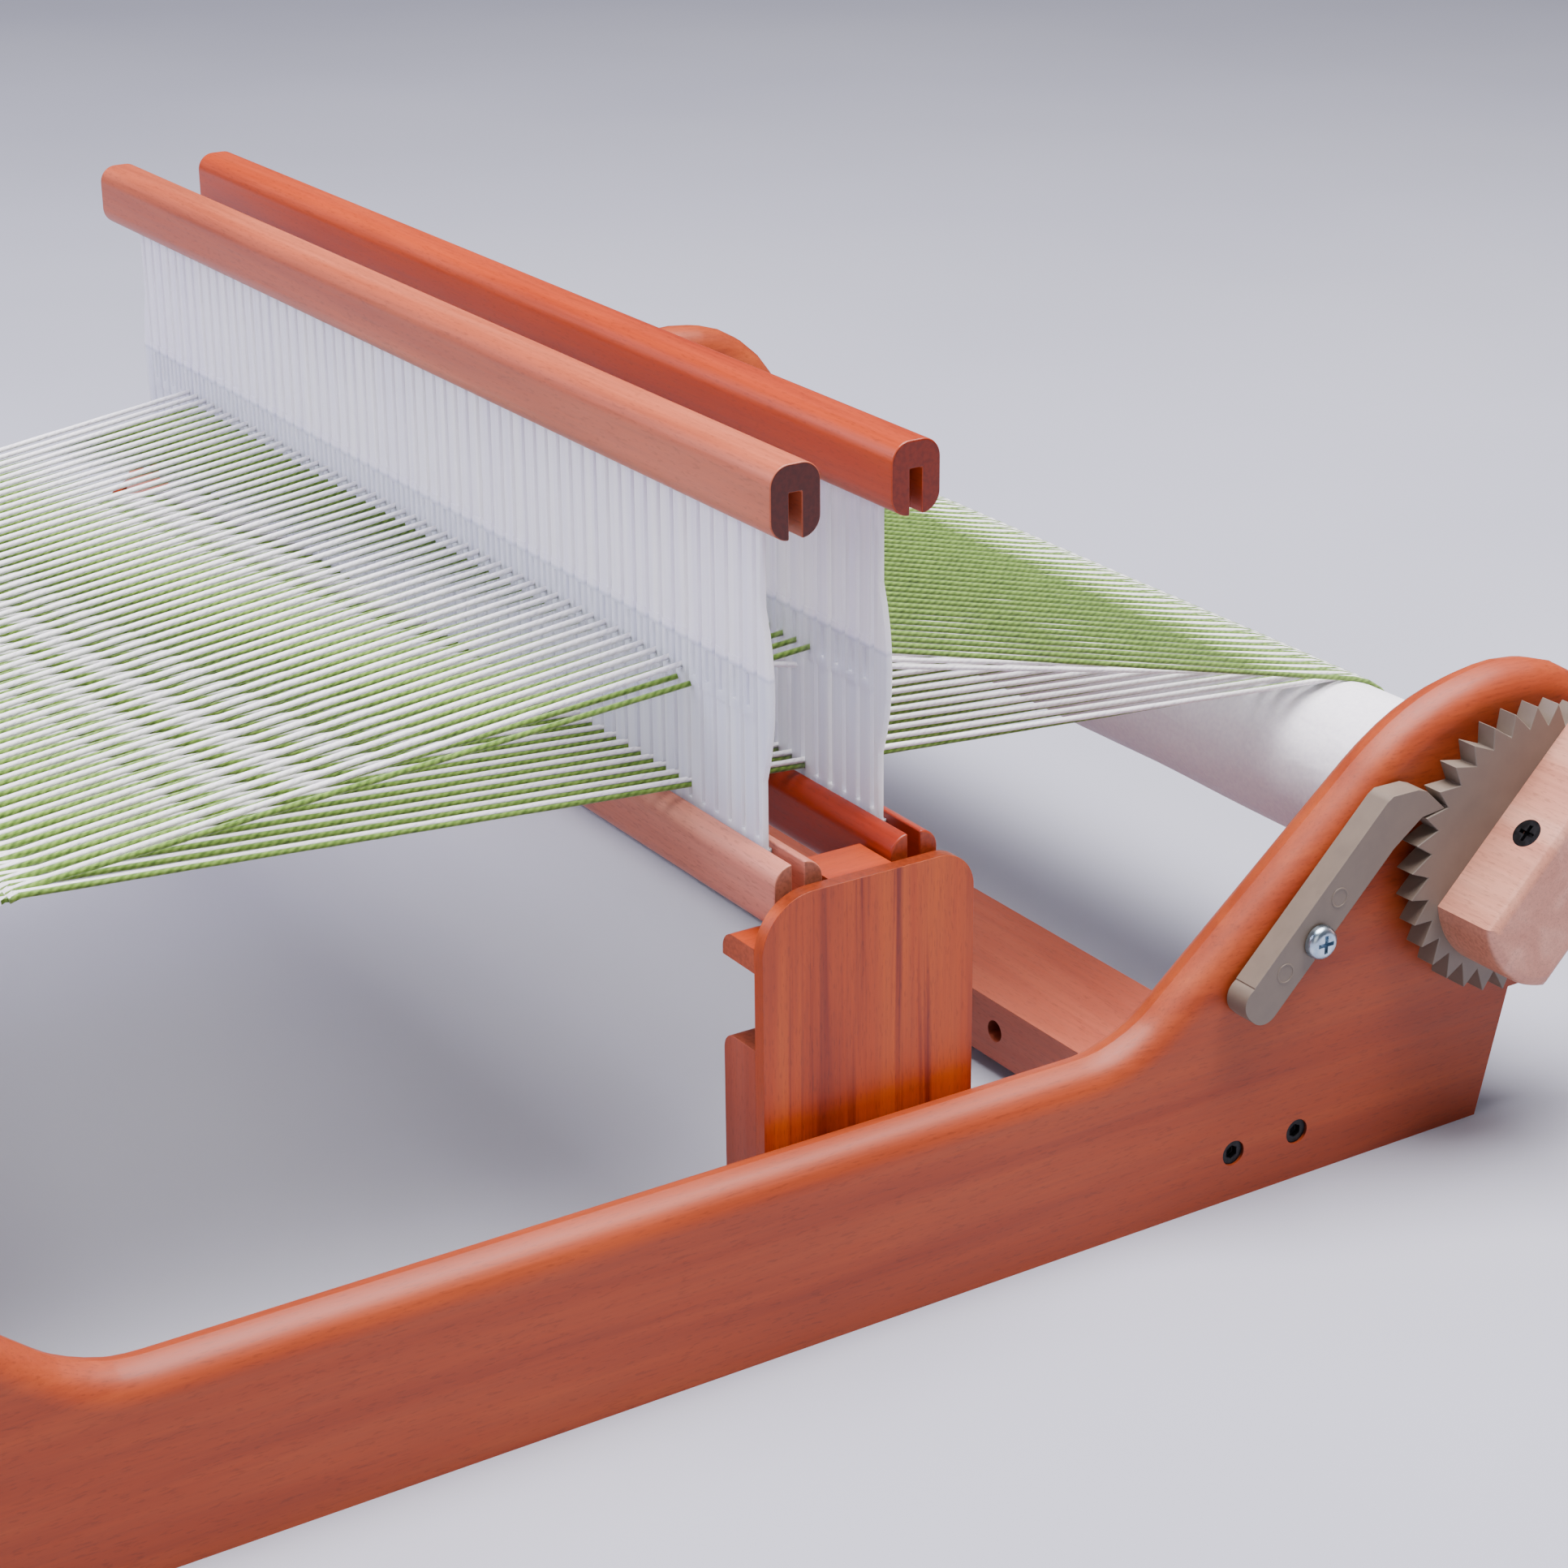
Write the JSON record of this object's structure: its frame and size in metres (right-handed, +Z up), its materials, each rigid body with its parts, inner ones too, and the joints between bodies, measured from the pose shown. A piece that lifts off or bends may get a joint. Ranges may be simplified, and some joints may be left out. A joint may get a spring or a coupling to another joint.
{
  "type": "rigid heddle loom",
  "caption": "Table-top rigid heddle loom: wooden side panels, ratcheted rollers with handles and pawls, heddles on side supports, and a striped wool warp partly woven.",
  "frame": {"origin": "on the table, under the middle of the whole loom's box", "axes": "+X across the loom to the weaver's right, +Y away from the weaver, +Z up"},
  "size_m": [0.5164, 0.6838, 0.2365],
  "materials": {
    "panel_beech": "satin lacquer",
    "rail_beech": "satin lacquer",
    "black_steel": "blacked",
    "plate_wood": "satin lacquer",
    "zinc_steel": "zinc plated",
    "pale_beech": "satin lacquer",
    "oiled_beech": "satin lacquer",
    "reed_plastic": "moulded",
    "roller_beech": "sanded",
    "nylon": "moulded",
    "handle_beech": "satin lacquer",
    "paper": "matt paper",
    "cloth": "plain weave wool",
    "white_yarn": "wool yarn",
    "green_yarn": "wool yarn"
  },
  "bodies": {
    "frame": {"right_side_panel": "panel_beech", "left_side_panel": "panel_beech", "rear_cross_rail": "rail_beech", "front_cross_rail": "rail_beech", "cross_rail_screws": "black_steel", "right_support_plate": "plate_wood", "left_support_plate": "plate_wood", "right_lower_block": "rail_beech", "left_lower_block": "rail_beech", "right_upper_block": "plate_wood", "left_upper_block": "plate_wood", "support_screws": "zinc_steel", "rear_pawl_screw": "zinc_steel", "rear_pawl_spacer": "zinc_steel", "front_pawl_screw": "zinc_steel", "front_pawl_spacer": "zinc_steel", "woven_cloth": "cloth", "warp_front_upper": "white_yarn", "warp_front_lower": "green_yarn", "warp_middle_upper": "green_yarn", "warp_middle_lower": "white_yarn", "warp_rear_upper": "green_yarn", "warp_rear_lower": "white_yarn"},
    "rear_roller": {"rear_roller": "roller_beech", "rear_ratchet": "nylon", "rear_handle": "handle_beech", "rear_handle_screw": "black_steel", "rear_roller_cap": "nylon", "rear_cap_screw": "zinc_steel", "warp_paper": "paper"},
    "front_roller": {"front_roller": "roller_beech", "front_ratchet": "nylon", "front_handle": "handle_beech", "front_handle_screw": "black_steel", "front_roller_cap": "nylon", "front_cap_screw": "zinc_steel", "cloth_winding": "cloth"},
    "rear_pawl": {"rear_pawl": "nylon"},
    "front_pawl": {"front_pawl": "nylon"},
    "front_heddle": {"front_heddle_top_rail": "pale_beech", "front_heddle_bottom_rail": "pale_beech", "front_reed": "reed_plastic"},
    "back_heddle": {"back_heddle_top_rail": "oiled_beech", "back_heddle_bottom_rail": "oiled_beech", "back_reed": "reed_plastic"}
  },
  "joints": [
    {"name": "rear_roller_turn", "type": "hinge", "parent": "frame", "child": "rear_roller", "pos_m": [-0.01395, 0.285, 0.09], "axis": [1, 0, 0], "range_deg": [-392.73, 392.73]},
    {"name": "front_roller_turn", "type": "hinge", "parent": "frame", "child": "front_roller", "pos_m": [-0.01395, -0.285, 0.09], "axis": [1, 0, 0], "range_deg": [-392.73, 392.73]},
    {"name": "rear_pawl_lift", "type": "hinge", "parent": "frame", "child": "rear_pawl", "pos_m": [0.23165, 0.2073, 0.0806], "axis": [1, 0, 0], "range_deg": [0, 30]},
    {"name": "front_pawl_lift", "type": "hinge", "parent": "frame", "child": "front_pawl", "pos_m": [0.23165, -0.2073, 0.0806], "axis": [1, 0, 0], "range_deg": [-30, 0]},
    {"name": "front_heddle_beat", "type": "slide", "parent": "frame", "child": "front_heddle", "axis": [0, -1, 0], "range_m": [0, 0.12], "deforming": ["warp_front_upper", "warp_front_lower", "warp_middle_upper", "warp_middle_lower"]},
    {"name": "back_heddle_lift", "type": "slide", "parent": "frame", "child": "back_heddle", "axis": [0, 0, 1], "range_m": [0, 0.012], "deforming": ["warp_middle_upper", "warp_middle_lower", "warp_rear_upper", "warp_rear_lower"]}
  ]
}
